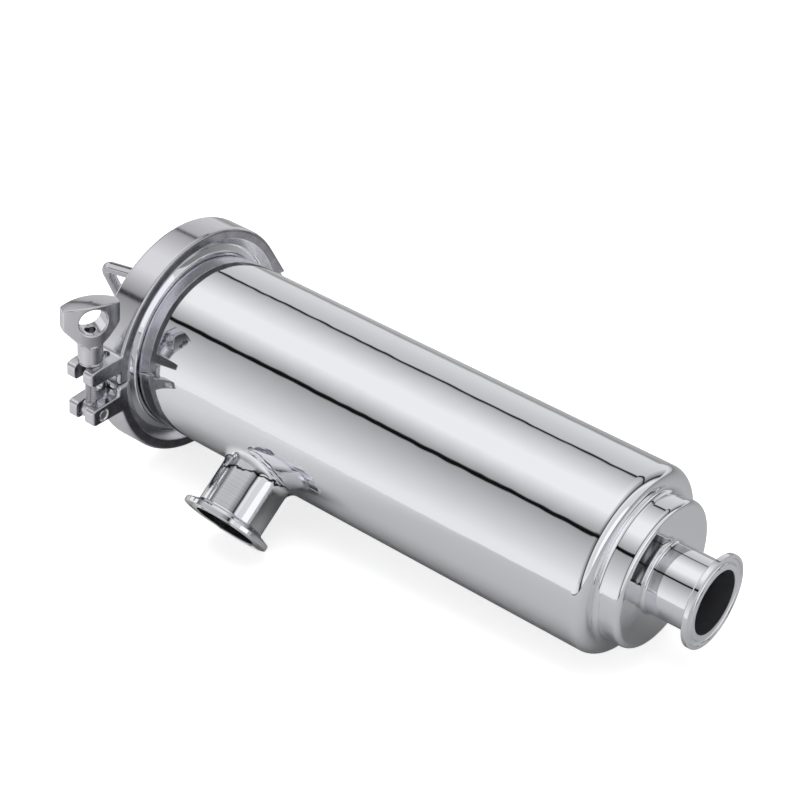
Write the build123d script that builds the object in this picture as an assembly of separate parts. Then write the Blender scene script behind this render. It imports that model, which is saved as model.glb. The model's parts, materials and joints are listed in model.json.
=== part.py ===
from build123d import *
from math import acos, asin, atan2, cos, degrees, hypot, radians, sin, sqrt, tan
import os

# A sanitary angle filter in mirror polished stainless steel. Liquid enters the side port, passes a
# mesh covered tube and leaves along the body. The body lies along X and the outlet points to +X. The
# origin is the centre of the outlet's sealing face. All sizes are in millimetres.

# Body
body_d = 101.6
body_wall = 2.0
inlet_to_outlet = 255.8
joint_to_inlet = 86.3
inlet_reach = 83.3
collar_round = 5.5

# Stepped end cap
cap_skirt = 6.0
shoulder_to_outlet = 42.8
shoulder_round = 7.3
step_land = 1.2
step_length = 13.6
step_round = 3.2
step_root_round = 2.6
neck_root_round = 1.8

# Clamp ferrules on the two ports
port_tube_d = 38.1
port_wall = 1.65
port_rim_reach = 6.2
port_groove_inset = 3.45
port_length = 21.5

# Large ferrule at the cover
joint_rim_reach = 8.7
joint_groove_inset = 4.35
joint_ferrule_length = 20.0

# Common to all clamp ferrules
rim_edge = 2.85
rim_bevel = 20.0
rim_corner = 0.5
bevel_root_round = 1.2
groove_round = 1.6
groove_depth = 1.3

# Cover and its gasket
gasket_gap = 2.0
gasket_clearance = 0.05
cover_thickness = 6.4
handle_rod_d = 6.4
handle_rise = 45.3
handle_foot_span = 87.0
handle_grip_span = 60.0
handle_bend = 9.0
handle_turn = -12.0

# Clamp, sized from the joint's rim
clamp_wall = 6.0
clamp_lip_depth = 4.3
clamp_face_rise = 0.1
clamp_width = 19.0
clamp_turn = -38.2
clamp_edge_round = 1.8
clamp_bevel_depth = 2.6
clamp_seat_clearance = 0.15
clamp_root_clearance = 0.8
clamp_split = 1.0

# Prongs, swing bolt and its pin, placed from the clamp's outside
prong_edge_round = 0.75
prong_tip_round = 2.5
prong_corner_round = 1.8
prong_root_round = 2.5
prong_slot = 6.4
prong_slot_sink = 1.5
upper_prong_reach = 20.3
upper_prong_low = 8.5
upper_prong_high = 17.7
lower_prong_reach = 19.3
lower_prong_low = 5.2
lower_prong_high = 16.6
lower_prong_slope = 4.0
bolt_reach = 11.5
bolt_d = 6.0
bolt_end = 32.0
bolt_eye_d = 11.0
bolt_pin_d = 5.0
bolt_pin_drop = 12.0
pin_sink_d = 7.0
pin_sink_depth = 1.0
pin_recess = 0.2
pin_end_round = 0.3

# Washer and wing nut
washer_d = 13.2
washer_thickness = 1.2
nut_hub_d = 13.5
nut_hub_top = 30.0
nut_wing_width = 31.5
nut_wing_low = 41.0
nut_wing_top = 52.8
nut_wing_rise = 1.8
nut_wing_end = 5.0
nut_wing_middle = 13.0
nut_neck_round = 8.0
nut_corner_round = 4.0
nut_edge_round = 0.9
nut_side_round = 0.6
nut_eye_d = 15.4
nut_eye_height = 44.8
nut_eye_chamfer = 0.6
nut_turn = -25.8

# Hinge of the clamp
hinge_reach = 4.0
hinge_knuckle_d = 13.2
hinge_pin_d = 5.0
hinge_relief_z = 16.0
hinge_relief_depth = 2.8

# Filter element
seat_rim = 4.4
seat_step = 5.0
element_tube_wall = 1.5
element_cover_gap = 22.0
element_hole_d = 11.0
element_holes_round = 8
element_hole_rows = 8
element_hole_margin = 26.0
mesh_thickness = 0.6
mesh_gap = 0.1
mesh_margin = 4.0
band_width = 8.0
band_thickness = 0.8
seat_length = 14.2
seat_socket = 6.0
seat_clearance = 0.3
seat_round = 1.5
seal_section_d = 2.0
seal_spacing = 3.8
seal_clearance = 0.05
plug_thickness = 3.0
plug_spigot = 8.0
pull_rod_d = 5.0
pull_span = 40.0
pull_bend = 6.0
pull_gap = 0.3

# Clearances between pieces that move on each other
running = 0.05
side_play = 0.2
seat_play = 0.1

# How near two places count as the same
same = 0.001

# Places that follow from the sizes
body_r = body_d / 2
port_r = port_tube_d / 2
rim_r = port_r + port_rim_reach
port_bore_r = port_r - port_wall
port_groove_r = rim_r - port_groove_inset
joint_rim_r = body_r + joint_rim_reach
step_r = body_r - shoulder_round - step_land - step_root_round
joint_groove_r = joint_rim_r - joint_groove_inset
clamp_r = joint_rim_r + clamp_wall
clamp_lip_r = joint_rim_r - clamp_lip_depth
clamp_face_r = joint_rim_r + clamp_face_rise
bolt_radius = clamp_r + bolt_reach
hinge_radius = clamp_r + hinge_reach
inlet_x = -inlet_to_outlet
joint_x = inlet_x - joint_to_inlet
shoulder_x = -shoulder_to_outlet
step_end_x = shoulder_x + step_length
cap_x = shoulder_x - shoulder_round - cap_skirt
tube_start_x = joint_x + gasket_gap / 2 + joint_ferrule_length
bevel_slope = tan(radians(rim_bevel))
bolt_pin_z = -bolt_pin_drop
seat_z = upper_prong_high
hinge_knuckle_r = hinge_knuckle_d / 2
prong_width = (clamp_width - prong_slot) / 2
pin_clear_r = bolt_pin_d / 2 + running
cover_inside_x = joint_x - gasket_gap / 2
seat_outer_r = step_r - body_wall - seat_clearance
element_r = seat_outer_r - seat_rim
element_start_x = step_end_x - body_wall
element_end_x = cover_inside_x + element_cover_gap
plug_x = element_end_x + plug_thickness
socket_x = element_start_x - seat_length + seat_socket
mesh_start_x = element_start_x - seat_length - mesh_margin
mesh_end_x = plug_x + mesh_margin
seal_centre_r = step_r - body_wall - seal_clearance - seal_section_d / 2
seal_middle_x = (shoulder_x + step_root_round + element_start_x - step_round + body_wall) / 2
seal_places = (seal_middle_x - seal_spacing / 2, seal_middle_x + seal_spacing / 2)

# How it lies: the clamp, the inlet's rim and the shoulder touch one plane, so the inlet slopes down
clamp_front_x = joint_x + clamp_width / 2
lie_slope = (clamp_r - body_r) / (shoulder_x - shoulder_round - clamp_front_x)
floor_under_inlet = body_r + lie_slope * (shoulder_x - shoulder_round - inlet_x)
inlet_down = degrees(asin(floor_under_inlet / hypot(inlet_reach, rim_r)) - atan2(rim_r, inlet_reach))


def rounded(face, corners):
    """Rounds the corners of a flat outline, each given as a point and a radius."""
    for point, radius in corners:
        corner = face.vertices().sort_by_distance(Vector(*point))[0]
        face = fillet(corner, radius)
    return face


def turned(outline, corners=(), cuts=()):
    """Revolves an outline of x and radius about the X axis, after rounding it and cutting circles."""
    face = rounded(make_face(Polyline(*outline, close=True)), corners)
    for x, radius, cut_r in cuts:
        face -= Pos(x, radius) * Circle(cut_r)
    return revolve(face, Axis.X)


def turn_ring(x, radius, section_r):
    """A ring of round section about the X axis."""
    return Pos(x, 0, 0) * Rot(0, 90, 0) * Torus(radius, section_r)


def along_x(x, y, z, radius, length):
    """A round bar along X, centred on the point."""
    return Pos(x, y, z) * Rot(0, 90, 0) * Cylinder(radius, length)


def weld_ferrule(tube_r, bore_r, rim_radius, groove_r, length):
    """A clamp ferrule with its sealing face at x = 0, facing +X, and its tube behind it."""
    bevel_end = -rim_edge - (rim_radius - tube_r) * bevel_slope
    outline = [
        (0, bore_r),
        (0, rim_radius),
        (-rim_edge, rim_radius),
        (bevel_end, tube_r),
        (-length, tube_r),
        (-length, bore_r),
    ]
    corners = [
        ((0, rim_radius), rim_corner),
        ((-rim_edge, rim_radius), rim_corner),
        ((bevel_end, tube_r), bevel_root_round),
    ]
    return turned(outline, corners, [(groove_round - groove_depth, groove_r, groove_round)])


def at_inlet(part):
    """Turns a ferrule's face to -Y and puts it on the side port."""
    return Pos(inlet_x, -inlet_reach, 0) * Rot(0, 0, -90) * part


def at_joint(part):
    """Turns a ferrule's face to -X and puts it on the body side of the joint."""
    return Pos(joint_x + gasket_gap / 2, 0, 0) * Rot(0, 180, 0) * part


def on_clamp(part):
    """From the clamp's own frame, prongs to -Y, to its place on the body."""
    return Rot(clamp_turn, 0, 0) * Pos(joint_x, 0, 0) * part


def body_tube():
    """The tube with its side collar pulled out of the wall."""
    bore_r = body_r - body_wall
    collar_end = inlet_reach - port_length
    middle = (tube_start_x + cap_x) / 2
    length = cap_x - tube_start_x

    def crossing(main_r, side_r, root_round):
        side = Pos(inlet_x, -collar_end / 2, 0) * Rot(90, 0, 0) * Cylinder(side_r, collar_end)
        both = along_x(middle, 0, 0, main_r, length) + side
        seam = [
            edge
            for edge in both.edges()
            if edge.geom_type not in (GeomType.LINE, GeomType.CIRCLE) and edge.length > side_r
        ]
        return fillet(seam, root_round)

    outside = crossing(body_r, port_r, collar_round)
    return outside - crossing(bore_r, port_bore_r, collar_round + body_wall)


def body_ferrule():
    return at_joint(
        weld_ferrule(
            body_r,
            body_r - body_wall,
            joint_rim_r,
            joint_groove_r,
            joint_ferrule_length,
        )
    )


def end_cap():
    """Spun cap: skirt, rounded shoulder, smaller step, flat end and a short drawn neck."""
    wall = body_wall
    neck_end = -port_length
    tube_r = port_r
    bore_r = port_bore_r
    outer = [
        (cap_x, 0),
        (cap_x, body_r),
        (shoulder_x, body_r),
        (shoulder_x, step_r),
        (step_end_x, step_r),
        (step_end_x, tube_r),
        (neck_end, tube_r),
        (neck_end, 0),
    ]
    outer_corners = [
        ((shoulder_x, body_r), shoulder_round),
        ((shoulder_x, step_r), step_root_round),
        ((step_end_x, step_r), step_round),
        ((step_end_x, tube_r), neck_root_round),
    ]
    inner = [
        (cap_x, 0),
        (cap_x, body_r - wall),
        (shoulder_x - wall, body_r - wall),
        (shoulder_x - wall, step_r - wall),
        (step_end_x - wall, step_r - wall),
        (step_end_x - wall, bore_r),
        (neck_end, bore_r),
        (neck_end, 0),
    ]
    inner_corners = [
        ((shoulder_x - wall, body_r - wall), shoulder_round - wall),
        ((shoulder_x - wall, step_r - wall), step_root_round + wall),
        ((step_end_x - wall, step_r - wall), step_round - wall),
        ((step_end_x - wall, bore_r), neck_root_round + wall),
    ]
    return turned(outer, outer_corners) - turned(inner, inner_corners)


def port_ferrule():
    return weld_ferrule(port_r, port_bore_r, rim_r, port_groove_r, port_length)


def cover():
    """Blind cap of the joint: a disc with the ferrule's rim and a raised middle."""
    boss_r = body_r
    edge_r = joint_rim_r
    bevel_end = -rim_edge - (edge_r - boss_r) * bevel_slope
    outline = [
        (0, 0),
        (0, edge_r),
        (-rim_edge, edge_r),
        (bevel_end, boss_r),
        (-cover_thickness, boss_r),
        (-cover_thickness, 0),
    ]
    corners = [((0, edge_r), rim_corner), ((-rim_edge, edge_r), rim_corner)]
    disc = turned(outline, corners, [(groove_round - groove_depth, joint_groove_r, groove_round)])
    return Pos(joint_x - gasket_gap / 2, 0, 0) * disc


def cover_gasket():
    """Flat ring between the faces, with a bead in each groove."""
    half = gasket_gap / 2
    bore_r = body_r - body_wall
    edge_r = joint_rim_r - rim_corner
    groove_x = half - groove_round + groove_depth
    bead_r = groove_round - gasket_clearance
    face = Pos(0, (bore_r + edge_r) / 2) * Rectangle(gasket_gap, edge_r - bore_r)
    for side in (-1, 1):
        face += Pos(side * groove_x, joint_groove_r) * Circle(bead_r)
    return Pos(joint_x, 0, 0) * revolve(face, Axis.X)


def bent_rod(foot_half, grip_half, rise, bend, rod_d):
    """A bow of round rod in the XZ plane: feet at x = 0, grip along Z at x = -rise."""
    path = FilletPolyline(
        (0, 0, -foot_half),
        (-rise, 0, -grip_half),
        (-rise, 0, grip_half),
        (0, 0, foot_half),
        radius=bend,
    )
    rod = sweep(Plane(origin=path @ 0, z_dir=path % 0) * Circle(rod_d / 2), path)
    lap = rod_d
    behind = Pos(lap / 2, 0, 0) * Box(lap, rod_d * 2, foot_half * 2 + rod_d * 2)
    return rod - behind


def cover_handle():
    bow = bent_rod(handle_foot_span / 2, handle_grip_span / 2, handle_rise, handle_bend, handle_rod_d)
    back_x = joint_x - gasket_gap / 2 - cover_thickness
    return Rot(handle_turn, 0, 0) * Pos(back_x, 0, 0) * bow


def clamp_groove():
    """What the two ferrule rims, the wedge walls and the bevelled lips take out of the clamp."""
    half = clamp_width / 2
    lip_r = clamp_lip_r
    face_r = clamp_face_r
    root_r = joint_rim_r + clamp_root_clearance
    rim_half = gasket_gap / 2 + rim_edge + clamp_seat_clearance
    lip_half = rim_half + (joint_rim_r - lip_r) * bevel_slope
    root_half = rim_half - clamp_root_clearance * bevel_slope
    slope = (face_r - lip_r) / clamp_bevel_depth
    over = 1.0
    right = [
        (root_half, root_r),
        (lip_half, lip_r),
        (half - clamp_bevel_depth, lip_r),
        (half + over, face_r + over * slope),
        (half + over, 0),
    ]
    left = [(-x, r) for x, r in reversed(right)]
    return turned(left + right)


def above_split(outline):
    """Leaves what stands above the split of the clamp."""
    below = 2 * clamp_r
    return outline - Pos(0, clamp_split / 2 - below / 2) * Rectangle(4 * clamp_r, below)


def outer_edges(solid):
    """The edges of a clamp piece's two faces, except those on the inside and at the split."""
    found = []
    for edge in solid.edges():
        middle = edge @ 0.5
        on_face = abs(abs(edge.center().X) - clamp_width / 2) < same
        on_inside = hypot(middle.Y, middle.Z) < clamp_lip_r + same
        on_split = middle.Z < clamp_split / 2 + same
        if on_face and not on_inside and not on_split:
            found.append(edge)
    return found


def clamp_band():
    """Half a ring over the clamp's width, with a web that runs from it to the hinge knuckle."""
    knuckle_r = hinge_knuckle_r
    tangent = acos((clamp_r - knuckle_r) / hinge_radius)
    touch = (cos(tangent), sin(tangent))
    web = Polyline(
        (0, 0),
        (clamp_r * touch[0], clamp_r * touch[1]),
        (hinge_radius + knuckle_r * touch[0], knuckle_r * touch[1]),
        (hinge_radius, 0),
        close=True,
    )
    outline = Circle(clamp_r) + make_face(web) + Pos(hinge_radius, 0) * Circle(knuckle_r)
    outline = above_split(outline - Circle(clamp_lip_r))
    band = extrude(Plane.YZ * outline, clamp_width / 2, both=True)
    return fillet(outer_edges(band), clamp_edge_round)


def prongs(upper):
    """The two prongs in one block; the lower half's are drawn upside down."""
    reach = upper_prong_reach if upper else lower_prong_reach
    low = upper_prong_low if upper else lower_prong_low
    high = upper_prong_high if upper else lower_prong_high
    tip = clamp_r + reach
    root = clamp_lip_r + prong_root_round
    tip_low = low if upper else low + (tip - root) * tan(radians(lower_prong_slope))
    outline = make_face(Polyline((-root, low), (-tip, tip_low), (-tip, high), (-root, high), close=True))
    tip_high = high
    if upper:
        # The seat is crowned about the pin on its outer side, so that the nut clears it.
        beyond = tip - bolt_radius
        crown_r = seat_z - bolt_pin_z
        tip_high = bolt_pin_z + sqrt(crown_r**2 - beyond**2)
        block = Pos(-bolt_radius - beyond, high) * Rectangle(2 * beyond, high)
        outline -= block - Pos(-bolt_radius, bolt_pin_z) * Circle(crown_r)
    outline = rounded(outline, [((-tip, tip_low), prong_tip_round), ((-tip, tip_high), prong_tip_round)])
    block = extrude(Plane.YZ * outline, clamp_width / 2, both=True)
    block = fillet([edge for edge in outer_edges(block) if (edge @ 0.5).Y < -root], prong_edge_round)
    corners = [((side * clamp_width / 2, -tip), prong_corner_round) for side in (-1, 1)]
    plan = rounded(Pos(0, -tip / 2) * Rectangle(clamp_width, tip), corners)
    return block & extrude(plan, clamp_r)


def clamp_half(upper):
    """One half of the clamp in its own frame, with the prongs to -Y and the hinge to +Y."""
    half = clamp_band() + prongs(upper)
    roots = [
        edge
        for edge in half.edges()
        if edge.geom_type == GeomType.LINE
        and abs(abs(edge.tangent_at(0.5).X) - 1) < same
        and abs(hypot((edge @ 0.5).Y, (edge @ 0.5).Z) - clamp_r) < same
        and (edge @ 0.5).Y < 0
    ]
    half = fillet(roots, prong_root_round)
    half -= clamp_groove()
    slot_r = prong_slot / 2
    slot_start = clamp_r - prong_slot_sink + slot_r
    half -= Pos(0, -slot_start - clamp_r / 2, 0) * Box(prong_slot, clamp_r, clamp_r)
    half -= Pos(0, -slot_start, 0) * Cylinder(slot_r, clamp_r)

    # The upper half has the middle knuckle, and the lower half has the two outer ones.
    sweep_r = hinge_knuckle_r + side_play
    if upper:
        third = prong_slot - 2 * side_play
        relief = Pos(0, clamp_r, 0) * Box(clamp_width, clamp_r, 2 * hinge_relief_z)
        relief -= along_x(0, 0, 0, clamp_r - hinge_relief_depth, 2 * clamp_width)
        relief += along_x(0, hinge_radius, 0, sweep_r, clamp_width)
        for side in (-1, 1):
            half -= Pos(side * (third + clamp_width) / 2, 0, 0) * relief
        half += along_x(0, hinge_radius, 0, hinge_knuckle_r, third)
    else:
        half -= along_x(0, hinge_radius, 0, sweep_r, prong_slot)
        for side in (-1, 1):
            x = side * (prong_slot + prong_width) / 2
            knuckle = along_x(x, hinge_radius, 0, hinge_knuckle_r, prong_width)
            ends = knuckle.edges().filter_by(GeomType.CIRCLE).sort_by(Axis.X)
            half += fillet(ends[-1] if side > 0 else ends[0], clamp_edge_round)
    half -= pin_hole(hinge_pin_d, hinge_radius, 0)
    if upper:
        return half
    half = mirror(half, Plane.XY)
    return half - pin_hole(bolt_pin_d, -bolt_radius, bolt_pin_z)


def pin_hole(pin_d, y, z):
    """A hole through the clamp's width with a countersink in each face."""
    hole_r = pin_d / 2 + running
    hole = along_x(0, y, z, hole_r, 2 * clamp_width)
    sink = Rot(0, 90, 0) * Cone(hole_r, pin_sink_d / 2, pin_sink_depth)
    for turn in (0, 180):
        hole += Pos(0, y, z) * Rot(0, 0, turn) * Pos((clamp_width - pin_sink_depth) / 2, 0, 0) * sink
    return hole


def swing_bolt():
    """Eye bolt: the eye turns on the pin, and the rod stands through the slot into the nut."""
    width = prong_slot - 2 * side_play
    rod_length = bolt_end - bolt_pin_z
    rod = Pos(0, -bolt_radius, bolt_pin_z + rod_length / 2) * Cylinder(bolt_d / 2, rod_length)
    end = rod.edges().sort_by(Axis.Z)[-1]
    rod = chamfer(end, bolt_d / 10)
    eye = along_x(0, -bolt_radius, bolt_pin_z, bolt_eye_d / 2, width)
    eye = chamfer(eye.edges().filter_by(GeomType.CIRCLE), side_play * 3)
    hole = along_x(0, -bolt_radius, bolt_pin_z, bolt_pin_d / 2 + 2 * running, 2 * width)
    return on_clamp(rod + eye - hole)


def plain_pin(pin_d, y, z):
    """A plain pin through the clamp's width, its ends just inside the faces."""
    length = clamp_width - 2 * pin_recess
    pin = along_x(0, y, z, pin_d / 2, length)
    pin = fillet(pin.edges().filter_by(GeomType.CIRCLE), pin_end_round)
    return on_clamp(pin)


def nut_washer():
    """Flat washer under the nut."""
    hole_r = bolt_d / 2 + running
    low = seat_z + seat_play
    disc = Pos(0, 0, low + washer_thickness / 2) * Cylinder(washer_d / 2, washer_thickness)
    disc = fillet(disc.edges().filter_by(GeomType.CIRCLE), washer_thickness / 4)
    hole = Pos(0, 0, low) * Cylinder(hole_r, 4 * washer_thickness)
    return on_clamp(Pos(0, -bolt_radius, 0) * (disc - hole))


def wing_nut():
    """Cast nut: a round hub that spreads into a lens shaped head with an eye through it."""
    low = seat_z + seat_play + washer_thickness + running
    half = nut_wing_width / 2
    hub_r = nut_hub_d / 2
    bottom = nut_hub_top - nut_neck_round
    front = Polyline(
        (half, nut_wing_top),
        (half, nut_wing_low),
        (hub_r, nut_hub_top),
        (hub_r, bottom),
        (-hub_r, bottom),
        (-hub_r, nut_hub_top),
        (-half, nut_wing_low),
        (-half, nut_wing_top),
    )
    top = ThreePointArc(
        (-half, nut_wing_top), (0, nut_wing_top + nut_wing_rise), (half, nut_wing_top)
    )
    corners = []
    for side in (-1, 1):
        corners.append(((side * hub_r, nut_hub_top), nut_neck_round))
        corners.append(((side * half, nut_wing_low), nut_corner_round))
        corners.append(((side * half, nut_wing_top), nut_edge_round))
    silhouette = rounded(make_face(front + top), corners)
    right = silhouette & Pos(half, nut_wing_top) * Rectangle(nut_wing_width, 2 * nut_wing_top)
    turned_head = Rot(90, 0, 0) * revolve(right, Axis.Y)

    end = nut_wing_end / 2
    middle = nut_wing_middle / 2
    lens = (
        ThreePointArc((-half, end), (0, middle), (half, end))
        + Line((half, end), (half, -end))
        + ThreePointArc((half, -end), (0, -middle), (-half, -end))
        + Line((-half, -end), (-half, end))
    )
    column = Pos(0, 0, bottom) * extrude(make_face(lens), nut_wing_top)
    head = turned_head & column
    brow = [edge for edge in head.edges() if abs((edge @ 0.5).X) < half - same and (edge @ 0.5).Z > nut_wing_top]
    head = fillet(brow, nut_side_round)
    hub = Pos(0, 0, (low + nut_hub_top) / 2) * Cylinder(hub_r, nut_hub_top - low)
    nut = head + hub
    eye = Pos(0, 0, nut_eye_height) * Rot(90, 0, 0) * Cylinder(nut_eye_d / 2, 4 * nut_wing_middle)
    nut = chamfer((nut - eye).edges() - nut.edges(), nut_eye_chamfer)
    bore = Pos(0, 0, low) * Cylinder(bolt_d / 2 + running, 2 * (nut_eye_height - low))
    nut -= bore
    return on_clamp(Pos(0, -bolt_radius, 0) * Rot(0, 0, 90 + nut_turn) * nut)


def element_seat():
    """Ring on the element's open end: it holds the tube and stands in the cap's step."""
    outer_r = seat_outer_r
    tube_r = element_r
    bore_r = element_r - seat_step
    start_x = element_start_x - seat_length
    outline = [
        (start_x, tube_r),
        (start_x, outer_r),
        (element_start_x, outer_r),
        (element_start_x, bore_r),
        (socket_x, bore_r),
        (socket_x, tube_r),
    ]
    face = rounded(make_face(Polyline(*outline, close=True)), [((element_start_x, outer_r), seat_round)])
    depth = seal_section_d + seat_clearance
    for x in seal_places:
        face -= Pos(x, seal_centre_r - depth / 2) * Rectangle(
            seal_section_d + 2 * seat_clearance, 2 * seal_section_d
        )
    return revolve(face, Axis.X)


def element_seal_rings():
    """Two rings of round section in the seat's grooves."""
    rings = [turn_ring(x, seal_centre_r, seal_section_d / 2) for x in seal_places]
    return Compound(children=rings)


def sleeve(start_x, end_x, inner_r, outer_r):
    """A round sleeve along the body's axis."""
    middle = (start_x + end_x) / 2
    length = abs(end_x - start_x)
    return along_x(middle, 0, 0, outer_r, length) - along_x(middle, 0, 0, inner_r, length)


def element_tube():
    """Perforated tube that carries the mesh."""
    tube_r = element_r
    tube = sleeve(plug_x, socket_x, tube_r - element_tube_wall, tube_r)
    first = plug_x + element_hole_margin
    last = socket_x - element_hole_margin
    pitch = (last - first) / (element_hole_rows - 1)
    holes = []
    for row in range(element_hole_rows):
        for place in range(element_holes_round // 2):
            turn = (place + (row % 2) / 2) * 360 / element_holes_round
            drill = Cylinder(element_hole_d / 2, 4 * tube_r)
            holes.append(Rot(turn, 0, 0) * Pos(first + row * pitch, 0, 0) * drill)
    return tube - holes


def element_mesh():
    inner_r = element_r + mesh_gap
    return sleeve(mesh_start_x, mesh_end_x, inner_r, inner_r + mesh_thickness)


def mesh_band(end_x, inward):
    """Flat band that holds an end of the mesh."""
    inner_r = element_r + mesh_gap + mesh_thickness + mesh_gap
    other_x = end_x + inward * band_width
    return sleeve(end_x, other_x, inner_r, inner_r + band_thickness)


def element_end_plug():
    """Disc that shuts the element's far end, with a spigot in the tube."""
    tube_r = element_r
    spigot_r = tube_r - element_tube_wall - mesh_gap
    outline = [
        (element_end_x, 0),
        (element_end_x, tube_r),
        (plug_x, tube_r),
        (plug_x, spigot_r),
        (plug_x + plug_spigot, spigot_r),
        (plug_x + plug_spigot, spigot_r - plug_thickness / 2),
        (plug_x, spigot_r - plug_thickness / 2),
        (plug_x, 0),
    ]
    return turned(outline)


def element_pull():
    """Bow that the element is drawn out by, just short of the cover."""
    rise = element_end_x - cover_inside_x - pull_gap - pull_rod_d / 2
    bow = bent_rod(pull_span / 2, pull_span / 2, rise, pull_bend, pull_rod_d)
    return Rot(handle_turn, 0, 0) * Pos(element_end_x, 0, 0) * bow


parts = {
    "body_tube": body_tube(),
    "body_ferrule": body_ferrule(),
    "end_cap": end_cap(),
    "outlet_ferrule": port_ferrule(),
    "inlet_ferrule": at_inlet(port_ferrule()),
    "cover": cover(),
    "cover_gasket": cover_gasket(),
    "cover_handle": cover_handle(),
    "clamp_upper_half": on_clamp(clamp_half(True)),
    "clamp_lower_half": on_clamp(clamp_half(False)),
    "clamp_hinge_pin": plain_pin(hinge_pin_d, hinge_radius, 0),
    "swing_bolt": swing_bolt(),
    "swing_bolt_pin": plain_pin(bolt_pin_d, -bolt_radius, bolt_pin_z),
    "nut_washer": nut_washer(),
    "wing_nut": wing_nut(),
    "element_tube": element_tube(),
    "element_mesh": element_mesh(),
    "element_seat": element_seat(),
    "element_seal_rings": element_seal_rings(),
    "element_end_plug": element_end_plug(),
    "element_pull": element_pull(),
    "mesh_band_outlet_end": mesh_band(mesh_start_x, -1),
    "mesh_band_cover_end": mesh_band(mesh_end_x, 1),
}

os.makedirs("parts", exist_ok=True)
for name, part in parts.items():
    export_step(Rot(inlet_down, 0, 0) * part, f"parts/{name}.step")
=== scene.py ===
"""Looks of the sanitary angle filter: shell, clamp, element, floor, light and camera."""

import json
from math import radians

import bpy
import numpy as np
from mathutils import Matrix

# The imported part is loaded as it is. Its solids have the shapes of the real pieces, so every node
# stays and only gets the finish of its metal or rubber.
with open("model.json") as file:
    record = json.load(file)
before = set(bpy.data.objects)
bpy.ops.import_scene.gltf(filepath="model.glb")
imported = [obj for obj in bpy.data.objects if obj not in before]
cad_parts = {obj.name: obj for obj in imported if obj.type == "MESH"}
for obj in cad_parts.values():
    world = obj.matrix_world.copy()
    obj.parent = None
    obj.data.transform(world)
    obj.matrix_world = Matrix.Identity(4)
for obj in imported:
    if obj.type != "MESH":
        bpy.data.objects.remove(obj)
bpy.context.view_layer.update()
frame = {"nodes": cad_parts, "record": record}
nodes = frame["nodes"]


# Shell: tube with its pulled collar, spun end cap, clamp ferrules and blind cover. It is stainless
# steel, welded, ground flush and buffed to a mirror outside, so it shows the room with a slight
# wave. The bores stay duller, and the inlet keeps its weld's dark line and fine brush lines.
def linear(code):
    """Linear colour of an sRGB code: c / 12.92 below 0.04045, else ((c + 0.055) / 1.055) ** 2.4."""
    c = np.array([int(code[i : i + 2], 16) / 255 for i in (1, 3, 5)])
    return (*np.where(c <= 0.04045, c / 12.92, ((c + 0.055) / 1.055) ** 2.4).tolist(), 1.0)


def add(tree, kind, inputs=None, stops=None, **settings):
    """Adds a node with its settings. An input takes a value, or the node or output that feeds it,
    and a ramp takes its stops as places with a grey or a colour. Inputs go by name or number: a map
    range reads from 1 to 2 and gives 3 to 4, and a mix blends 2 and 3, or the colours 6 and 7."""
    node = tree.nodes.new(kind)
    for name, value in settings.items():
        setattr(node, name, value)
    for key, value in (inputs or {}).items():
        if isinstance(value, bpy.types.Node):
            value = value.outputs[0]
        if isinstance(value, bpy.types.NodeSocket):
            tree.links.new(value, node.inputs[key])
        else:
            node.inputs[key].default_value = value
    if stops:
        elements = node.color_ramp.elements
        while len(elements) < len(stops):
            elements.new(1.0)
        for element, (place, value) in zip(elements, stops):
            element.position = place
            element.color = linear(value) if isinstance(value, str) else (value, value, value, 1.0)
    return node


def finish(name, colour, roughness, metallic=1.0):
    """A new material with one principled shader that has this colour and roughness all over."""
    material = bpy.data.materials.new(name)
    material.use_nodes = True
    tree = material.node_tree
    tree.nodes.clear()
    values = {"Base Color": linear(colour), "Roughness": roughness, "Metallic": metallic}
    shader = add(tree, "ShaderNodeBsdfPrincipled", values)
    add(tree, "ShaderNodeOutputMaterial", {"Surface": shader})
    return material, tree, shader


def give(material, slot):
    """Puts the material in place of the plain one on every CAD node of that slot."""
    for row in frame["record"]["subparts"]:
        if row["material_slot"] == slot:
            data = nodes[row["node"]].data
            for index in range(len(data.materials)):
                data.materials[index] = material


def distance(tree, a, b):
    """The node that gives how far a point is from an axis: the root of a squared and b squared."""
    a_squared = add(tree, "ShaderNodeMath", {0: a, 1: a}, operation="MULTIPLY")
    b_squared = add(tree, "ShaderNodeMath", {0: b, 1: b}, operation="MULTIPLY")
    both = add(tree, "ShaderNodeMath", {0: a_squared, 1: b_squared}, operation="ADD")
    return add(tree, "ShaderNodeMath", {0: both}, operation="SQRT")


# The second colour is painted shade for the weld's undercut.
shell_steel, weld_painted_shade = "#EDEEF2", "#26262A"
mirror_gloss, outlet_gloss, inside_gloss, inlet_gloss = 0.04, 0.22, 0.2, 0.09
shell, tree, shader = finish("polished_stainless", shell_steel, mirror_gloss)
place = add(tree, "ShaderNodeTexCoord").outputs["Object"]
axes = add(tree, "ShaderNodeSeparateXYZ", {0: place})
from_body = distance(tree, axes.outputs["Y"], axes.outputs["Z"])

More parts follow.
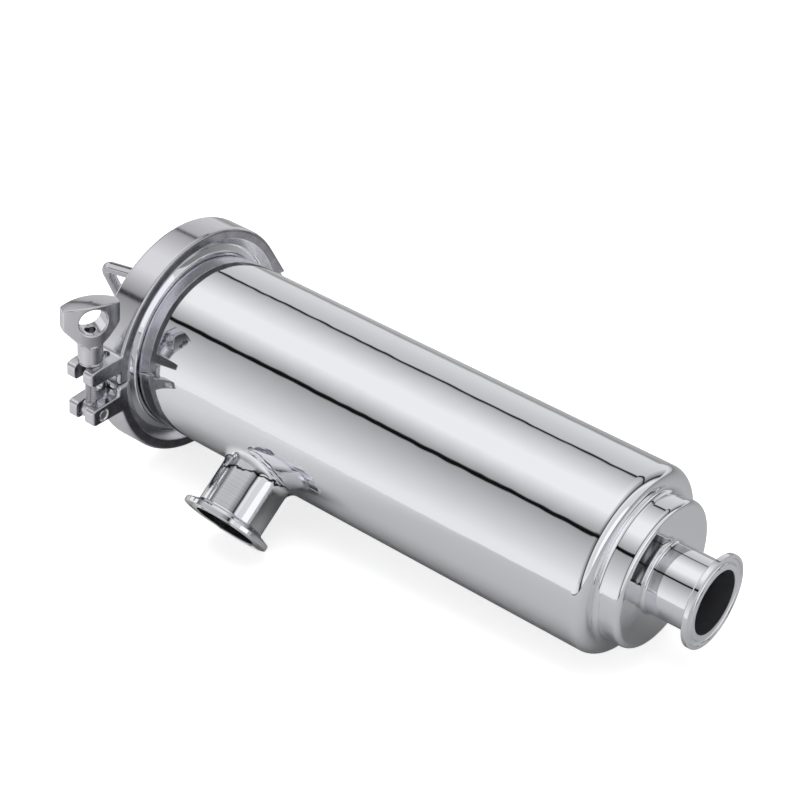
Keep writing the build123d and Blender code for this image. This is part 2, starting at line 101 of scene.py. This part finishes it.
# The buffing wheel leaves a long low wave all over, and the spun disc round the outlet's neck is
# dished a little.
buff_wave, buff_height = 0.034, 0.00026
dish_wave, dish_height = 0.013, 0.0007
disc_back_x, disc_front_x, dish_outer_r, dish_full_r, neck_r = -0.0345, -0.012, 0.036, 0.024, 0.0205
wave = {"Vector": place, "Scale": 1 / buff_wave, "Detail": 2.0, "Roughness": 0.65}
wave = add(tree, "ShaderNodeTexNoise", wave)
bump = add(tree, "ShaderNodeBump", {"Height": wave, "Distance": buff_height})
dish = add(tree, "ShaderNodeTexNoise", {"Vector": place, "Scale": 1 / dish_wave, "Detail": 1.0})
by_neck = add(tree, "ShaderNodeMapRange", {0: from_body, 1: dish_outer_r, 2: dish_full_r})
off_neck = add(tree, "ShaderNodeMath", {0: from_body, 1: neck_r}, operation="GREATER_THAN")
behind = {0: axes.outputs["X"], 1: disc_back_x}
behind = add(tree, "ShaderNodeMath", behind, operation="GREATER_THAN")
before = add(tree, "ShaderNodeMath", {0: axes.outputs["X"], 1: disc_front_x}, operation="LESS_THAN")
for mask in (by_neck, behind, off_neck, before):
    dish = add(tree, "ShaderNodeMath", {0: dish, 1: mask}, operation="MULTIPLY")
bump = add(tree, "ShaderNodeBump", {"Height": dish, "Distance": dish_height, "Normal": bump})

# Bores: the outlet and the body inside are satin from the grinding belt, and the inlet is finer.
# The inlet is read along its own axis, which slopes down from the body.
inlet_x, inlet_down = -0.2558, 28.095
port_inside_r, port_root_r, body_inside_r = 0.0182, 0.0235, 0.0498
body_inside_x, cover_inside_x = -0.058, -0.3435
along_inlet = {"Vector": place, "Rotation": (-radians(inlet_down), 0.0, 0.0)}
along_inlet = add(tree, "ShaderNodeSeparateXYZ", {0: add(tree, "ShaderNodeMapping", along_inlet)})
from_inlet_x = {0: along_inlet.outputs["X"], 1: inlet_x}
from_inlet_x = add(tree, "ShaderNodeMath", from_inlet_x, operation="SUBTRACT")
from_inlet = distance(tree, from_inlet_x, along_inlet.outputs["Z"])
this_side = {0: along_inlet.outputs["Y"], 1: 0.0}
this_side = add(tree, "ShaderNodeMath", this_side, operation="LESS_THAN")
in_inlet = add(tree, "ShaderNodeMath", {0: from_inlet, 1: port_inside_r}, operation="LESS_THAN")
in_inlet = add(tree, "ShaderNodeMath", {0: in_inlet, 1: this_side}, operation="MULTIPLY")
in_outlet = add(tree, "ShaderNodeMath", {0: from_body, 1: port_inside_r}, operation="LESS_THAN")
in_body = add(tree, "ShaderNodeMath", {0: from_body, 1: body_inside_r}, operation="LESS_THAN")
past_cap = {0: axes.outputs["X"], 1: body_inside_x}
past_cap = add(tree, "ShaderNodeMath", past_cap, operation="LESS_THAN")
off_cover = {0: axes.outputs["X"], 1: cover_inside_x}
off_cover = add(tree, "ShaderNodeMath", off_cover, operation="GREATER_THAN")
for mask in (past_cap, off_cover):
    in_body = add(tree, "ShaderNodeMath", {0: in_body, 1: mask}, operation="MULTIPLY")
gloss = add(tree, "ShaderNodeMapRange", {0: in_outlet, 3: mirror_gloss, 4: outlet_gloss})
gloss = add(tree, "ShaderNodeMix", {0: in_body, 2: gloss, 3: inside_gloss})
gloss = add(tree, "ShaderNodeMix", {0: in_inlet, 2: gloss, 3: inlet_gloss})
tree.links.new(gloss.outputs[0], shader.inputs["Roughness"])

# Weld of the inlet's tube: a thin uneven dark line on the collar, painted shade of the weld's
# undercut. Past it the tube keeps the lines of the brush that went round it, drawn 0.9 mm apart so
# that they show.
weld_from_axis, weld_slope, weld_half_width = 0.0556, 0.22, 0.0009
weld_grain, weld_wander = 0.005, 0.006
brush_step, brush_height = 0.0009, 0.00003
wander = add(tree, "ShaderNodeTexNoise", {"Vector": place, "Scale": 1 / weld_grain, "Detail": 2.0})
wander = add(tree, "ShaderNodeMapRange", {0: wander, 3: -weld_wander / 2, 4: weld_wander / 2})
rise = add(tree, "ShaderNodeMath", {0: from_inlet_x, 1: -weld_slope}, operation="MULTIPLY")
from_weld = {0: along_inlet.outputs["Y"], 1: weld_from_axis}
from_weld = add(tree, "ShaderNodeMath", from_weld, operation="ADD")
for shift in (wander, rise):
    from_weld = add(tree, "ShaderNodeMath", {0: from_weld, 1: shift}, operation="ADD")
past_weld = add(tree, "ShaderNodeMath", {0: from_weld, 1: 0.0}, operation="LESS_THAN")
weld = add(tree, "ShaderNodeMath", {0: from_weld}, operation="ABSOLUTE")
weld = add(tree, "ShaderNodeMapRange", {0: weld, 1: weld_half_width, 2: weld_half_width / 3})
outside = add(tree, "ShaderNodeMath", {0: from_inlet, 1: port_inside_r}, operation="GREATER_THAN")
on_root = add(tree, "ShaderNodeMath", {0: from_inlet, 1: port_root_r}, operation="LESS_THAN")
for mask in (outside, on_root, this_side):
    weld = add(tree, "ShaderNodeMath", {0: weld, 1: mask}, operation="MULTIPLY")
brushed = {"W": along_inlet.outputs["Y"], "Scale": 1 / brush_step, "Detail": 3.0}
brushed = add(tree, "ShaderNodeTexNoise", brushed, noise_dimensions="1D")
for mask in (past_weld, on_root, outside):
    brushed = add(tree, "ShaderNodeMath", {0: brushed, 1: mask}, operation="MULTIPLY")
bump = {"Height": brushed, "Distance": brush_height, "Normal": bump}
bump = add(tree, "ShaderNodeBump", bump)
tree.links.new(bump.outputs[0], shader.inputs["Normal"])
# The weld's dark line is painted shade, mixed into the steel's colour.
steel = {0: weld, 6: linear(shell_steel), 7: linear(weld_painted_shade)}
steel = add(tree, "ShaderNodeMix", steel, data_type="RGBA")
tree.links.new(steel.outputs[2], shader.inputs["Base Color"])
give(shell, "polished_shell")

# Handle and pull bow: drawn stainless rod, bent cold and buffed. It shines like the shell, with the
# faint lengthwise ripple that the drawing die leaves.
ripple_size, ripple_height = 0.006, 0.00004
rod, tree, shader = finish("buffed_rod", "#C2C2C8", 0.09)
place = add(tree, "ShaderNodeTexCoord").outputs["Object"]
ripple = add(tree, "ShaderNodeTexNoise", {"Vector": place, "Scale": 1 / ripple_size, "Detail": 2.0})
bump = add(tree, "ShaderNodeBump", {"Height": ripple, "Distance": ripple_height})
tree.links.new(bump.outputs[0], shader.inputs["Normal"])
give(rod, "polished_rod")

# Clamp halves and wing nut: investment cast stainless. The rim is buffed, and the rounded edges get
# a lighter colour, a painted highlight. The flat sides that point along the pipe keep the mottled
# grey of the casting, painted darker as shade. The grain is drawn at 0.9 mm, coarser than it is, so
# that it shows.
grain_size, grain_height, grain_low, grain_high = 0.0009, 0.000004, 0.3, 0.7
# The flat sides' two greys are the casting's mottle, painted darker as shade.
mottle_size, grain_share, mottle_and_shade_dark, mottle_and_shade_light = 0.005, 0.35, "#7A7A80", "#95959B"
edge_width, edge_from, edge_full, edge_gloss = 0.001, 0.98, 0.9, 0.08
# The edge colour is a painted highlight.
buffed_steel, painted_edge_highlight, side_from, side_full = "#DADADF", "#EAEAEE", 0.78, 0.95
buffed_least, buffed_most, raw_least, raw_most = 0.1, 0.14, 0.17, 0.21
cast, tree, shader = finish("cast_stainless", buffed_steel, 0.12)
texture = add(tree, "ShaderNodeTexCoord")
place = texture.outputs["Object"]
grain = add(tree, "ShaderNodeTexNoise", {"Vector": place, "Scale": 1 / grain_size, "Detail": 3.0})
mottle = add(tree, "ShaderNodeTexNoise", {"Vector": place, "Scale": 1 / mottle_size, "Detail": 2.0})
facing = add(tree, "ShaderNodeSeparateXYZ", {0: texture.outputs["Normal"]})
facing = add(tree, "ShaderNodeMath", {0: facing.outputs["X"]}, operation="ABSOLUTE")
flat = add(tree, "ShaderNodeMapRange", {0: facing, 1: side_from, 2: side_full})
buffed = {0: grain, 1: grain_low, 2: grain_high, 3: buffed_least, 4: buffed_most}
buffed = add(tree, "ShaderNodeMapRange", buffed)
raw = {0: grain, 1: grain_low, 2: grain_high, 3: raw_least, 4: raw_most}
raw = add(tree, "ShaderNodeMapRange", raw)
rounded = add(tree, "ShaderNodeBevel", {"Radius": edge_width}, samples=6)
edge = {0: rounded, 1: add(tree, "ShaderNodeNewGeometry").outputs["Normal"]}
edge = add(tree, "ShaderNodeVectorMath", edge, operation="DOT_PRODUCT")
edge = {0: edge.outputs["Value"], 1: edge_from, 2: edge_full}
edge = add(tree, "ShaderNodeMapRange", edge)
gloss = add(tree, "ShaderNodeMix", {0: flat, 2: buffed, 3: raw})
gloss = add(tree, "ShaderNodeMix", {0: edge, 2: gloss, 3: edge_gloss})
tree.links.new(gloss.outputs[0], shader.inputs["Roughness"])
mottle = add(tree, "ShaderNodeMix", {0: grain_share, 2: mottle, 3: grain})
# The mottle is real random tone, and its dark greys on the sides that face along the pipe are
# painted shade.
tone = add(tree, "ShaderNodeValToRGB", {0: mottle}, stops=[(0.35, mottle_and_shade_dark), (0.65, mottle_and_shade_light)])
steel = add(tree, "ShaderNodeMix", {0: flat, 6: linear(buffed_steel), 7: tone}, data_type="RGBA")
# The lighter colour on the rounded edges is a painted highlight.
steel = {0: edge, 6: steel.outputs[2], 7: linear(painted_edge_highlight)}
steel = add(tree, "ShaderNodeMix", steel, data_type="RGBA")
tree.links.new(steel.outputs[2], shader.inputs["Base Color"])
pits = add(tree, "ShaderNodeMath", {0: grain, 1: flat}, operation="MULTIPLY")
bump = {"Height": pits, "Distance": grain_height, "Normal": rounded}
bump = add(tree, "ShaderNodeBump", bump)
tree.links.new(bump.outputs[0], shader.inputs["Normal"])
give(cast, "cast_clamp")

# Pins of the clamp: turned stainless rod, pressed in. Fine rings of the lathe tool run round them,
# drawn here at half a millimetre so that they show.
ring_step, ring_height, ring_length = 0.0005, 0.00001, 1 / 60
least_gloss, most_gloss = 0.14, 0.24
pin, tree, shader = finish("turned_pin", "#D6D6D8", 0.18)
place = add(tree, "ShaderNodeTexCoord").outputs["Object"]
rings = {"Vector": place, "Scale": (1 / ring_step, 1 / ring_length, 1 / ring_length)}
rings = add(tree, "ShaderNodeMapping", rings)
rings = add(tree, "ShaderNodeTexNoise", {"Vector": rings, "Scale": 1.0, "Detail": 1.0})
bump = add(tree, "ShaderNodeBump", {"Height": rings, "Distance": ring_height})
tree.links.new(bump.outputs[0], shader.inputs["Normal"])
gloss = add(tree, "ShaderNodeMapRange", {0: rings, 3: least_gloss, 4: most_gloss})
tree.links.new(gloss.outputs[0], shader.inputs["Roughness"])
give(pin, "pin_steel")

# Swing bolt and washer: turned stainless with an M6 thread on the rod. The thread is a ridge of
# 1 mm pitch round the bolt's own axis, and it stops at the eye, which is wider than the rod.
thread_pitch, thread_depth = 0.001, 0.0003
bolt_x, bolt_y, bolt_lean, bolt_rod_r = -0.3421, -0.077, -10.105, 0.00305
bolt, tree, shader = finish("turned_bolt", "#CFCFD2", 0.2)
place = add(tree, "ShaderNodeTexCoord").outputs["Object"]
upright = {"Vector": place, "Rotation": (-radians(bolt_lean), 0.0, 0.0)}
axes = add(tree, "ShaderNodeSeparateXYZ", {0: add(tree, "ShaderNodeMapping", upright)})
from_x = add(tree, "ShaderNodeMath", {0: axes.outputs["X"], 1: bolt_x}, operation="SUBTRACT")
from_y = add(tree, "ShaderNodeMath", {0: axes.outputs["Y"], 1: bolt_y}, operation="SUBTRACT")
from_bolt = distance(tree, from_x, from_y)
on_rod = add(tree, "ShaderNodeMath", {0: from_bolt, 1: bolt_rod_r}, operation="LESS_THAN")
ridge = {0: axes.outputs["Z"], 1: thread_pitch / 2}
ridge = add(tree, "ShaderNodeMath", ridge, operation="PINGPONG")
ridge = add(tree, "ShaderNodeMapRange", {0: ridge, 2: thread_pitch / 2})
ridge = add(tree, "ShaderNodeMath", {0: ridge, 1: on_rod}, operation="MULTIPLY")
bump = add(tree, "ShaderNodeBump", {"Height": ridge, "Distance": thread_depth})
tree.links.new(bump.outputs[0], shader.inputs["Normal"])
give(bolt, "bolt_steel")

# Element: perforated stainless tube with its seat, plug and bands. The sheet is brushed lengthwise
# before it is rolled, which leaves long fine streaks.
streak_length, streak_width = 0.03, 0.0008
streak_low, streak_high, least_gloss, most_gloss = 0.3, 0.7, 0.24, 0.38
element, tree, shader = finish("brushed_stainless", "#C8C8C9", 0.3)
place = add(tree, "ShaderNodeTexCoord").outputs["Object"]
streaks = {"Vector": place, "Scale": (1 / streak_length, 1 / streak_width, 1 / streak_width)}
streaks = add(tree, "ShaderNodeMapping", streaks)
streaks = add(tree, "ShaderNodeTexNoise", {"Vector": streaks, "Scale": 1.0, "Detail": 2.0})
gloss = {0: streaks, 1: streak_low, 2: streak_high, 3: least_gloss, 4: most_gloss}
gloss = add(tree, "ShaderNodeMapRange", gloss)
tree.links.new(gloss.outputs[0], shader.inputs["Roughness"])
stops = [(streak_low, "#C0C0C2"), (streak_high, "#CECECF")]
tone = add(tree, "ShaderNodeValToRGB", {0: streaks}, stops=stops)
tree.links.new(tone.outputs[0], shader.inputs["Base Color"])
give(element, "element_steel")

# Mesh sleeve: woven stainless wire round the element. Its real wires stand a quarter millimetre
# apart, and they are drawn at 0.8 mm so that the weave shows.
wire_step, wire_height, mesh_r = 0.0008, 0.0002, 0.0334
mesh, tree, shader = finish("woven_wire", "#A8A8AA", 0.4)
place = add(tree, "ShaderNodeTexCoord").outputs["Object"]
axes = add(tree, "ShaderNodeSeparateXYZ", {0: place})
turn = {0: axes.outputs["Y"], 1: axes.outputs["Z"]}
turn = add(tree, "ShaderNodeMath", turn, operation="ARCTAN2")
around = add(tree, "ShaderNodeMath", {0: turn, 1: mesh_r}, operation="MULTIPLY")
weft = add(tree, "ShaderNodeMath", {0: around, 1: wire_step / 2}, operation="PINGPONG")
warp = add(tree, "ShaderNodeMath", {0: axes.outputs["X"], 1: wire_step / 2}, operation="PINGPONG")
wires = add(tree, "ShaderNodeMath", {0: weft, 1: warp}, operation="MAXIMUM")
wires = add(tree, "ShaderNodeMapRange", {0: wires, 1: wire_step / 5, 2: wire_step / 2})
bump = add(tree, "ShaderNodeBump", {"Height": wires, "Distance": wire_height})
tree.links.new(bump.outputs[0], shader.inputs["Normal"])
# The low places of the weave are painted dark: painted shade in the gaps between the wires.
tone = add(tree, "ShaderNodeValToRGB", {0: wires}, stops=[(0.0, "#3C3C3E"), (0.4, "#A8A8AA")])
tree.links.new(tone.outputs[0], shader.inputs["Base Color"])
give(mesh, "mesh_steel")

# Gasket and sealing rings: white silicone, pressed in a mould. The mould leaves a dull skin with a
# very fine grain.
skin_grain, skin_height, least_gloss, most_gloss = 0.0006, 0.00001, 0.42, 0.58
rubber, tree, shader = finish("white_silicone", "#E8E5DE", 0.5, metallic=0.0)
place = add(tree, "ShaderNodeTexCoord").outputs["Object"]
skin = add(tree, "ShaderNodeTexNoise", {"Vector": place, "Scale": 1 / skin_grain, "Detail": 2.0})
bump = add(tree, "ShaderNodeBump", {"Height": skin, "Distance": skin_height})
tree.links.new(bump.outputs[0], shader.inputs["Normal"])
gloss = add(tree, "ShaderNodeMapRange", {0: skin, 3: least_gloss, 4: most_gloss})
tree.links.new(gloss.outputs[0], shader.inputs["Roughness"])
give(rubber, "gasket_rubber")


# Floor: a plain white sheet that touches the clamp and the shoulder of the end cap. Camera, metal
# and glass see it white, and it keeps the object's shadow, which its own glow makes faint.
def surface(name, points, uv, material):
    """A staged grid of quads through rows of points, with a place in the UV map for each point."""
    rows, columns = points.shape[:2]
    index = np.arange(rows * columns).reshape(rows, columns)
    quads = np.stack([index[1:, :-1], index[1:, 1:], index[:-1, 1:], index[:-1, :-1]], -1)
    quads = quads.reshape(-1, 4)
    data = bpy.data.meshes.new(name)
    data.from_pydata(points.reshape(-1, 3).tolist(), [], quads.tolist())
    layer = data.uv_layers.new(name="UVMap")
    layer.data.foreach_set("uv", uv.reshape(-1, 2)[quads.ravel()].astype(np.float32).ravel())
    data.materials.append(material)
    obj = bpy.data.objects.new(name, data)
    bpy.context.scene.collection.objects.link(obj)
    return obj


def see_white(tree):
    """The node that is 1 for rays of the camera, of mirrors and through glass."""
    path = add(tree, "ShaderNodeLightPath")
    seen = path.outputs["Is Camera Ray"]
    for ray in ("Is Glossy Ray", "Is Transmission Ray"):
        seen = add(tree, "ShaderNodeMath", {0: seen, 1: path.outputs[ray]}, operation="MAXIMUM")
    return seen


floor_size, floor_gap, floor_glow = 4.0, 0.0002, 0.72
clamp_foot = (-0.3326, -0.0655)
cap_foot = (-0.0501, -0.0508)
floor_slope = (cap_foot[1] - clamp_foot[1]) / (cap_foot[0] - clamp_foot[0])
# It is flat: its height is the clamp's foot plus the slope to the cap's foot times the way from it.
side = np.linspace(-floor_size, floor_size, 3)
x, y = np.meshgrid(side, side, indexing="ij")
level = clamp_foot[1] + floor_slope * (x - clamp_foot[0])
paint = bpy.data.materials.new("floor_paint")
paint.use_nodes = True
tree = paint.node_tree
tree.nodes.clear()
matt = add(tree, "ShaderNodeBsdfDiffuse", {"Color": linear("#D4D4D4")})
white = add(tree, "ShaderNodeEmission", {"Color": linear("#FFFFFF"), "Strength": floor_glow})
lit = add(tree, "ShaderNodeAddShader", {0: matt, 1: white})
seen = add(tree, "ShaderNodeMixShader", {0: see_white(tree), 1: matt, 2: lit})
add(tree, "ShaderNodeOutputMaterial", {"Surface": seen})
flat_uv = np.zeros((*x.shape, 2))
surface("floor", np.stack([x, y, level - 2 * floor_gap], -1), flat_uv, paint)

# Table flag: a grey card on the floor that only the polished steel sees, as a studio puts grey and
# black flags round a mirror. The ramps are read across the card, from 1 m before the object at 0
# to 1 m behind it at 1. A stop is a place with a grey.
flag_greys = [(0.325, 0.55), (0.55, 0.4), (0.73, 0.2)]
grey_card = bpy.data.materials.new("grey_card")
grey_card.use_nodes = True
tree = grey_card.node_tree
tree.nodes.clear()
place = add(tree, "ShaderNodeTexCoord").outputs["Object"]
axes = add(tree, "ShaderNodeSeparateXYZ", {0: place})
along, to_back = axes.outputs["X"], axes.outputs["Y"]
across = add(tree, "ShaderNodeMapRange", {0: to_back, 1: -1.0, 2: 1.0})
tone = add(tree, "ShaderNodeValToRGB", {0: across}, stops=flag_greys)

# The card is paler toward the clamp, and palest on a strip behind it that the clamp's sides show.
clamp_side_x, clamp_fades_x, clamp_gain = -0.38, -0.22, 1.3
strip_x, strip_half, strip_full = -0.245, 0.13, 0.07
strip_end_y, strip_full_y, strip_least, strip_gain = 0.165, 0.115, 0.1, 1.2
gain = {0: along, 1: clamp_side_x, 2: clamp_fades_x, 3: clamp_gain, 4: 1.0}
gain = add(tree, "ShaderNodeMapRange", gain)
strip = {0: to_back, 1: strip_end_y, 2: strip_full_y, 3: strip_least, 4: strip_gain}
strip = add(tree, "ShaderNodeMapRange", strip)
behind = add(tree, "ShaderNodeMath", {0: to_back, 1: 0.0}, operation="GREATER_THAN")
by_clamp = add(tree, "ShaderNodeMath", {0: along, 1: strip_x}, operation="SUBTRACT")
by_clamp = add(tree, "ShaderNodeMath", {0: by_clamp}, operation="ABSOLUTE")
by_clamp = add(tree, "ShaderNodeMapRange", {0: by_clamp, 1: strip_half, 2: strip_full})
for mask in (behind, by_clamp):
    strip = add(tree, "ShaderNodeMath", {0: strip, 1: mask}, operation="MULTIPLY")
gain = add(tree, "ShaderNodeMath", {0: gain, 1: strip}, operation="ADD")
tone = {0: 1.0, 6: tone, 7: gain}
tone = add(tree, "ShaderNodeMix", tone, data_type="RGBA", blend_type="MULTIPLY")
card = add(tree, "ShaderNodeBsdfDiffuse", {"Color": tone.outputs[2]})

# Before and behind the object the card goes over to a bright one. The one before it has a dark
# wedge that runs out from the outlet: its greys go by x past the wedge's root over the distance.
bright_shares = [
    (0.0, 1.0), (0.312, 1.0), (0.332, 0.0), (0.735, 0.0), (0.75, 0.35), (0.785, 0.51), (1.0, 0.82),
]
wedge_greys = [
    (0.0, 1.0), (0.36, 0.8), (0.46, 0.02), (0.58, 0.02), (0.66, 0.4), (0.78, 0.95), (0.9, 1.0),
]
wedge_from_x, least_distance, bright_glow = -0.05, 0.001, 0.92
past_root = add(tree, "ShaderNodeMath", {0: along, 1: wedge_from_x}, operation="SUBTRACT")
before = add(tree, "ShaderNodeMath", {0: to_back, 1: -1.0}, operation="MULTIPLY")
before = add(tree, "ShaderNodeMath", {0: before, 1: least_distance}, operation="MAXIMUM")
wedge = add(tree, "ShaderNodeMath", {0: past_root, 1: before}, operation="DIVIDE")
wedge = add(tree, "ShaderNodeValToRGB", {0: wedge}, stops=wedge_greys)
bright = add(tree, "ShaderNodeEmission", {"Color": wedge, "Strength": bright_glow})
share = add(tree, "ShaderNodeValToRGB", {0: across}, stops=bright_shares)
card = add(tree, "ShaderNodeMixShader", {0: share, 1: card, 2: bright})

# A dark lip parts the grey card from the bright one before the outlet.
lip_shares = [(0.318, 0.0), (0.322, 1.0), (0.331, 1.0), (0.336, 0.0)]
lip_from_x, lip_grey = -0.12, "#303030"
lip = add(tree, "ShaderNodeValToRGB", {0: across}, stops=lip_shares)
near_outlet = add(tree, "ShaderNodeMath", {0: along, 1: lip_from_x}, operation="GREATER_THAN")
lip = add(tree, "ShaderNodeMath", {0: lip, 1: near_outlet}, operation="MULTIPLY")
dark = add(tree, "ShaderNodeBsdfDiffuse", {"Color": linear(lip_grey)})
card = add(tree, "ShaderNodeMixShader", {0: lip, 1: card, 2: dark})
add(tree, "ShaderNodeOutputMaterial", {"Surface": card})
flag = surface("table_flag", np.stack([x, y, level - floor_gap], -1), flat_uv, grey_card)
flag.visible_camera = False
flag.visible_diffuse = False
flag.visible_shadow = False

# Light tent: one long half tube round the object, sewn from three plain cloths with black seams: one
# behind, a bright one overhead and one before. Each fades evenly between its greys, and past the
# outlet, beyond a dark frame, the tent is one even cloth.
tent_radius, tent_length, tent_columns, tent_glow = 2.2, 9.0, 72, 1.15
even_from, even_full, even_cloth, seam = 1.0, 1.3, "#D8D8D8", "#101010"
# The greys go by the angle about X in degrees, from behind at 0 over the top at 90 to the front at
# 180. Each cloth has three or four, and a seam is about 2 degrees wide at the back and 4 before.
tent_greys = [
    (-15, "#A0A0A0"), (0, "#D8D8D8"), (35, "#C0C0C0"), (36, seam), (38, seam),
    (40, "#B0B0B0"), (75, "#F0F0F0"), (95, "#F0F0F0"), (120, "#A0A0A0"), (121, seam), (125, seam),
    (126, "#A0A0A0"), (180, "#E8E8E8"), (197, "#E8E8E8"),
]
# It dims along x, in metres: toward the far end, and to a dark frame past the outlet.
frame_greys = [
    (-4.5, 0.25), (-3.4, 0.3), (-2.4, 0.95), (0.1, 1.0), (0.6, 0.62), (0.9, 0.42), (1.06, 0.05),
    (1.22, 0.05), (1.36, 0.55), (1.55, 1.1), (1.9, 1.15), (2.2, 0.97),
]
first, last = tent_greys[0][0], tent_greys[-1][0]
# The cloth is a tube: y and z are the radius times the cosine and the sine of the angle.
turn = np.radians(np.linspace(first, last, tent_columns))
a, x = np.meshgrid(turn, np.linspace(-tent_length / 2, tent_length / 2, 3), indexing="ij")
points = np.stack([x, tent_radius * np.cos(a), tent_radius * np.sin(a)], -1)
uv = np.stack([(a - turn[0]) / (turn[-1] - turn[0]), x / tent_length + 0.5], -1)
cloth = bpy.data.materials.new("tent_cloth")
cloth.use_nodes = True
tree = cloth.node_tree
tree.nodes.clear()
axes = {0: add(tree, "ShaderNodeTexCoord").outputs["UV"]}
axes = add(tree, "ShaderNodeSeparateXYZ", axes)
around, along = axes.outputs["X"], axes.outputs["Y"]
stops = [((angle - first) / (last - first), grey) for angle, grey in tent_greys]
glow = add(tree, "ShaderNodeValToRGB", {0: around}, stops=stops)
share = {0: along, 1: even_from / tent_length + 0.5, 2: even_full / tent_length + 0.5}
share = add(tree, "ShaderNodeMapRange", share)
glow = {0: share, 6: glow, 7: linear(even_cloth)}
glow = add(tree, "ShaderNodeMix", glow, data_type="RGBA")
stops = [(place_x / tent_length + 0.5, grey) for place_x, grey in frame_greys]
dim = add(tree, "ShaderNodeValToRGB", {0: along}, stops=stops)
glow = {0: 1.0, 6: glow.outputs[2], 7: dim}
glow = add(tree, "ShaderNodeMix", glow, data_type="RGBA", blend_type="MULTIPLY")
glow = add(tree, "ShaderNodeEmission", {"Color": glow.outputs[2], "Strength": tent_glow})
add(tree, "ShaderNodeOutputMaterial", {"Surface": glow})
tent = surface("light_tent", points, uv, cloth)
tent.visible_camera = False
tent.visible_shadow = False

# End wall of the tent past the outlet: half a disc of white paper, evenly bright. y and z are the
# way out from the middle times the cosine and the sine of the tent's angles.
end_x, paper_glow = tent_length / 2, 1.12
a, r = np.meshgrid(turn, np.linspace(0.0, tent_radius, 4), indexing="ij")
points = np.stack([np.full_like(a, end_x), r * np.cos(a), r * np.sin(a)], -1)
paper = bpy.data.materials.new("end_paper")
paper.use_nodes = True
tree = paper.node_tree
tree.nodes.clear()
glow = add(tree, "ShaderNodeEmission", {"Color": linear("#FFFFFF"), "Strength": paper_glow})
add(tree, "ShaderNodeOutputMaterial", {"Surface": glow})
end_wall = surface("end_wall", points, np.zeros((*a.shape, 2)), paper)
end_wall.visible_camera = False
end_wall.visible_shadow = False

# World: the white background that the camera, mirrors and glass see. For the light that it adds to
# the object, it is a quiet grey.
world = bpy.data.worlds.new("studio")
bpy.context.scene.world = world
world.use_nodes = True
tree = world.node_tree
tree.nodes.clear()
grey = add(tree, "ShaderNodeBackground", {"Color": linear("#B4B4B4")})
white = add(tree, "ShaderNodeBackground", {"Color": linear("#FFFFFF")})
sky = add(tree, "ShaderNodeMixShader", {0: see_white(tree), 1: grey, 2: white})
add(tree, "ShaderNodeOutputWorld", {"Surface": sky})

# Lamp: a soft box overhead that lights the floor and the cards. Mirrors don't show it, because the
# tent is what they show.
lamp_data = bpy.data.lights.new("overhead", "AREA")
lamp_data.shape = "RECTANGLE"
lamp_data.size = 1.6
lamp_data.size_y = 1.2
lamp_data.energy = 18.0
lamp = bpy.data.objects.new("overhead", lamp_data)
bpy.context.scene.collection.objects.link(lamp)
lamp.location = (-0.2, 0.1, 1.5)
lamp.visible_glossy = False

# Camera at the photograph's place: a long lens that looks down on the outlet's side. Its place and
# turn were fitted to the round rims of the ports.
camera_data = bpy.data.cameras.new("camera")
camera_data.sensor_width = 36.0
camera_data.lens = 105.85
camera_data.clip_start = 0.05
camera = bpy.data.objects.new("camera", camera_data)
bpy.context.scene.collection.objects.link(camera)
camera.location = (0.40252, -0.67246, 0.82594)
camera.rotation_euler = (radians(48.3585), radians(2.7985), radians(38.9995))
bpy.context.scene.camera = camera

bpy.context.scene.view_settings.view_transform = "Standard"
